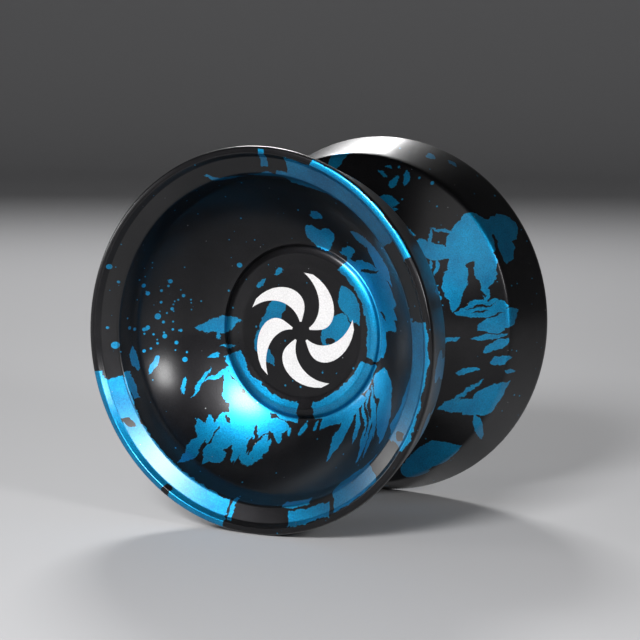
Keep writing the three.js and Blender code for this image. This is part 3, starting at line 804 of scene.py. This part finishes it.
# ---- Shields and snap rings ---------------------------------------------------------------
# A thin pressed shield closes each side of the bearing and turns with the outer race.
# A sprung C-shaped wire ring snaps into the race's groove and holds the shield in.
shield_low, shield_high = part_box("shield_b")
shield_near = shield_low.y / MM
shield_far = shield_high.y / MM
shield_radius = shield_high.x / MM
shield_inner = inner_shoulder + 0.15
snap_low, snap_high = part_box("snap_ring_b")
snap_near = snap_low.y / MM
snap_far = snap_high.y / MM
shield_steel = ground_steel("shield_steel", (0.58, 0.58, 0.60), 0.26, 0.8)
for letter, side in (("a", -1), ("b", 1)):
    middle = (shield_near + shield_far) / 2
    shield = turn_ring("bearing_shield_" + letter, [
        (shield_radius, shield_near, 0.02),
        (shield_radius, shield_near + 0.1, 0.02),
        (shield_radius - 0.5, shield_near + 0.1, 0.08),
        (shield_radius - 0.7, shield_far, 0.08),
        (shield_inner + 0.05, shield_far, 0.03),
        (shield_inner, shield_far - 0.03, 0.02),
        (shield_inner, middle + 0.01, 0.02),
        (shield_radius - 0.75, middle, 0.05),
        (shield_radius - 0.6, shield_near, 0.05),
    ], side, 128, shield_steel)
    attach(shield, "outer_race")
    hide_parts("shield_" + letter)

    shape = bmesh.new()
    wire_centre = shield_seat - 0.25
    wire_along = (snap_near + snap_far) / 2
    wire_wide, wire_tall = 0.19, (snap_far - snap_near) / 2
    loops = []
    for j in range(121):
        angle = 0.25 + (2 * math.pi - 0.5) * j / 120
        loop = []
        for k in range(12):
            turn = 2 * math.pi * (k + 0.5) / 12
            radius = wire_centre + wire_wide * math.copysign(abs(math.cos(turn)) ** 0.6, math.cos(turn))
            along = wire_along + wire_tall * math.copysign(abs(math.sin(turn)) ** 0.6, math.sin(turn))
            loop.append(shape.verts.new((radius * math.cos(angle) * MM, side * along * MM,
                                         radius * math.sin(angle) * MM)))
        loops.append(loop)
    for near, far in zip(loops, loops[1:]):
        for k in range(12):
            shape.faces.new((near[k], near[(k + 1) % 12], far[(k + 1) % 12], far[k])).smooth = True
    shape.faces.new(loops[0])
    shape.faces.new(loops[-1][::-1])
    bmesh.ops.recalc_face_normals(shape, faces=shape.faces)
    mesh = bpy.data.meshes.new("snap_wire_" + letter)
    shape.to_mesh(mesh)
    shape.free()
    wire = bpy.data.objects.new("snap_wire_" + letter, mesh)
    bpy.context.collection.objects.link(wire)
    wire.data.materials.append(pressed_steel)
    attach(wire, "outer_race")
    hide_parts("snap_ring_" + letter)


# ---- Axle ---------------------------------------------------------------------------------
# An M4 stud joins the halves. Its rolled thread runs its whole length, with chamfered ends, and a
# hexagon socket in one end lets it be screwed out of a half with a small key.
thread_depth = 0.28
socket_flats = 2.0
socket_depth = 2.2
axle_steps = 72
shape = bmesh.new()
rings = []
fine_rows = int(axle_half * 2 / axle_pitch * 10)
for row in range(fine_rows + 1):
    along = -axle_half + axle_half * 2 * row / fine_rows
    ring = []
    for j in range(axle_steps):
        angle = 2 * math.pi * j / axle_steps
        lead = (along / axle_pitch - angle / (2 * math.pi)) % 1.0
        flank = min(max((abs(lead - 0.5) * 2 - 0.12) / 0.7, 0.0), 1.0)
        radius = axle_radius - thread_depth * flank
        radius = min(radius, axle_radius - 0.42 + (axle_half - abs(along)))
        ring.append(shape.verts.new((radius * math.cos(angle) * MM, along * MM,
                                     radius * math.sin(angle) * MM)))
    rings.append(ring)


def socket_ring(along, scale):
    """The hexagon of the socket, as a ring with one corner point for each step of the stud."""
    ring = []
    for j in range(axle_steps):
        angle = 2 * math.pi * j / axle_steps
        off_flat = (angle + math.pi / 6) % (math.pi / 3) - math.pi / 6
        radius = socket_flats / 2 / math.cos(off_flat) * scale
        ring.append(shape.verts.new((radius * math.cos(angle) * MM, along * MM,
                                     radius * math.sin(angle) * MM)))
    return ring


rings.append(socket_ring(axle_half, 1.12))
rings.append(socket_ring(axle_half - 0.12, 1.0))
rings.append(socket_ring(axle_half - socket_depth, 1.0))
tip = shape.verts.new((0, (axle_half - socket_depth - 0.5) * MM, 0))
foot = shape.verts.new((0, -axle_half * MM, 0))
for near, far in zip(rings, rings[1:]):
    for j in range(axle_steps):
        k = (j + 1) % axle_steps
        shape.faces.new((near[j], near[k], far[k], far[j])).smooth = True
for j in range(axle_steps):
    k = (j + 1) % axle_steps
    shape.faces.new((rings[-1][j], rings[-1][k], tip))
    shape.faces.new((rings[0][k], rings[0][j], foot))
bmesh.ops.recalc_face_normals(shape, faces=shape.faces)
mesh = bpy.data.meshes.new("threaded_axle")
shape.to_mesh(mesh)
shape.free()
axle = bpy.data.objects.new("threaded_axle", mesh)
bpy.context.collection.objects.link(axle)
axle.data.materials.append(ground_steel("oiled_axle_steel", (0.36, 0.355, 0.35), 0.32, 0.6))
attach(axle, "first_half")
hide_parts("axle")


# ---- Etched marks on the hub discs --------------------------------------------------------
# A laser has burnt a plain pinwheel of five curved blades through the dye on each hub disc.
# It leaves a pale, finely grained layer that stands a hair above the metal.
mark_thickness = 0.015
blade_count = 5
blade_inner = 1.5
blade_outer = 8.8
blade_sweep = math.radians(62)
blade_spread = math.radians(37)


def etched_white():
    material = bpy.data.materials.new("etched_white")
    material.use_nodes = True
    tree = material.node_tree
    shader = tree.nodes["Principled BSDF"]
    solid = put(tree, "ShaderNodeTexCoord").outputs["Object"]
    grain = noise(tree, solid, 4200.0, 2.0, 0.7).outputs["Fac"]
    cloud = noise(tree, solid, 420.0, 2.0).outputs["Fac"]
    pale = mixed(tree, ramp(tree, grain, 0.35, 0.65), (0.60, 0.585, 0.58, 1), (0.76, 0.745, 0.74, 1))
    pale = mixed(tree, ramp(tree, cloud, 0.4, 0.75, 0.0, 0.25), pale, (0.50, 0.49, 0.49, 1))
    tree.links.new(pale, shader.inputs["Base Color"])
    tree.links.new(ramp(tree, grain, 0.3, 0.7, 0.5, 0.7), shader.inputs["Roughness"])
    shader.inputs["Metallic"].default_value = 0.15
    return material


def blade_outline(turn, steps=22):
    """One curved blade, fat in the middle and pointed at both ends, as (radius, angle) pairs."""
    front, back = [], []
    for k in range(steps + 1):
        t = k / steps
        radius = blade_inner + (blade_outer - blade_inner) * t
        middle = turn + blade_sweep * t * t
        half = blade_spread / 2 * math.sin(math.pi * (0.08 + 0.86 * t)) ** 0.8
        front.append((radius, middle + half))
        back.append((radius, middle - half))
    return front + back[::-1]


mark_material = etched_white()
for letter, side, body in (("a", -1, "first_half"), ("b", 1, "second_half")):
    shape = bmesh.new()
    for blade in range(blade_count):
        turn = 2 * math.pi * blade / blade_count + 0.35
        low, high = [], []
        for radius, angle in blade_outline(turn):
            x = side * -radius * math.cos(angle) * MM
            z = radius * math.sin(angle) * MM
            low.append(shape.verts.new((x, side * (hub_disc_plane - mark_thickness) * MM, z)))
            high.append(shape.verts.new((x, side * (hub_disc_plane + mark_thickness) * MM, z)))
        shape.faces.new(low)
        shape.faces.new(high)
        for k in range(len(low)):
            after = (k + 1) % len(low)
            shape.faces.new((low[k], low[after], high[after], high[k]))
    bmesh.ops.recalc_face_normals(shape, faces=shape.faces)
    mesh = bpy.data.meshes.new("hub_mark_" + letter)
    shape.to_mesh(mesh)
    shape.free()
    mark = bpy.data.objects.new("hub_mark_" + letter, mesh)
    bpy.context.collection.objects.link(mark)
    mark.data.materials.append(mark_material)
    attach(mark, body)


# ---- Floor, light and camera --------------------------------------------------------------
# A plain pale floor that curves up all round, five soft boxes and a long lens at table height.
floor_material = bpy.data.materials.new("pale_floor")
floor_material.use_nodes = True
floor_shader = floor_material.node_tree.nodes["Principled BSDF"]
floor_shader.inputs["Base Color"].default_value = (0.42, 0.42, 0.43, 1)
floor_shader.inputs["Roughness"].default_value = 0.65
floor_level = cad_box[0][2]
sweep = bmesh.new()
cove_radius = 0.5
floor_reach = 0.9
floor_steps = 96
path = [(0.3, 0.0), (0.6, 0.0), (floor_reach, 0.0)]
for k in range(1, 13):
    bend = math.radians(90 * k / 12)
    path.append((floor_reach + cove_radius * math.sin(bend), cove_radius - cove_radius * math.cos(bend)))
path.append((floor_reach + cove_radius, 2.0))
rows = []
for reach, height in path:
    row = []
    for j in range(floor_steps):
        angle = 2 * math.pi * j / floor_steps
        row.append(sweep.verts.new((reach * math.cos(angle), reach * math.sin(angle), floor_level + height)))
    rows.append(row)
sweep.faces.new(rows[0])
for near, far in zip(rows, rows[1:]):
    for j in range(floor_steps):
        k = (j + 1) % floor_steps
        sweep.faces.new((near[j], far[j], far[k], near[k])).smooth = True
floor_mesh = bpy.data.meshes.new("studio_floor")
sweep.to_mesh(floor_mesh)
sweep.free()
studio_floor = bpy.data.objects.new("studio_floor", floor_mesh)
bpy.context.collection.objects.link(studio_floor)
studio_floor.data.materials.append(floor_material)

world = bpy.data.worlds.new("studio")
world.use_nodes = True
world.node_tree.nodes["Background"].inputs["Color"].default_value = (1, 1, 1, 1)
world.node_tree.nodes["Background"].inputs["Strength"].default_value = 0.03
bpy.context.scene.world = world


def soft_box(name, direction, distance, size, power):
    """A rectangular area light that faces the yo-yo from a direction."""
    lamp = bpy.data.lights.new(name, "AREA")
    lamp.shape = "RECTANGLE"
    lamp.size, lamp.size_y = size
    lamp.energy = power
    made = bpy.data.objects.new(name, lamp)
    bpy.context.collection.objects.link(made)
    away = Vector(direction).normalized()
    made.location = away * distance
    made.rotation_euler = away.to_track_quat("Z", "Y").to_euler()
    return made


key_box = soft_box("key_box", (0.08, -0.86, 0.50), 0.55, (0.16, 0.12), 3.5)
soft_box("front_fill_box", (0.28, -0.85, 0.44), 0.60, (0.34, 0.34), 0.45)
soft_box("right_box", (0.85, -0.42, 0.33), 0.50, (0.09, 0.11), 1.1)
soft_box("left_box", (-0.86, -0.46, 0.16), 0.50, (0.20, 0.06), 0.6)
soft_box("back_top_box", (-0.44, 0.70, 0.56), 0.60, (0.14, 0.09), 1.5)

# the key box is flagged off the far half, so only the near one and the floor catch it
key_lit = bpy.data.collections.new("lit_by_key_box")
for name in ("turned_half_a", "hub_mark_a", "silicone_ring_a", "studio_floor"):
    key_lit.objects.link(bpy.data.objects[name])
key_box.light_linking.receiver_collection = key_lit

camera_azimuth = math.radians(27.47)
camera_elevation = math.radians(6.64)
camera_roll = math.radians(0.385)
camera_distance = 0.3605
camera_back = Vector((math.sin(camera_azimuth) * math.cos(camera_elevation),
                      -math.cos(camera_azimuth) * math.cos(camera_elevation),
                      math.sin(camera_elevation)))
camera_right = Vector((math.cos(camera_azimuth), math.sin(camera_azimuth), 0))
camera_up = camera_back.cross(camera_right)
lens = bpy.data.cameras.new("long_lens")
lens.sensor_width = 36
lens.lens = 135
camera = bpy.data.objects.new("long_lens", lens)
bpy.context.collection.objects.link(camera)
camera.location = (camera_right * -0.379 + camera_up * 1.044) * MM + camera_back * camera_distance
camera.rotation_euler = camera_back.to_track_quat("Z", "Y").to_euler()
camera.rotation_euler.rotate_axis("Z", camera_roll)
lens.clip_start = 0.01
bpy.context.scene.camera = camera
bpy.context.scene.view_settings.view_transform = "Standard"
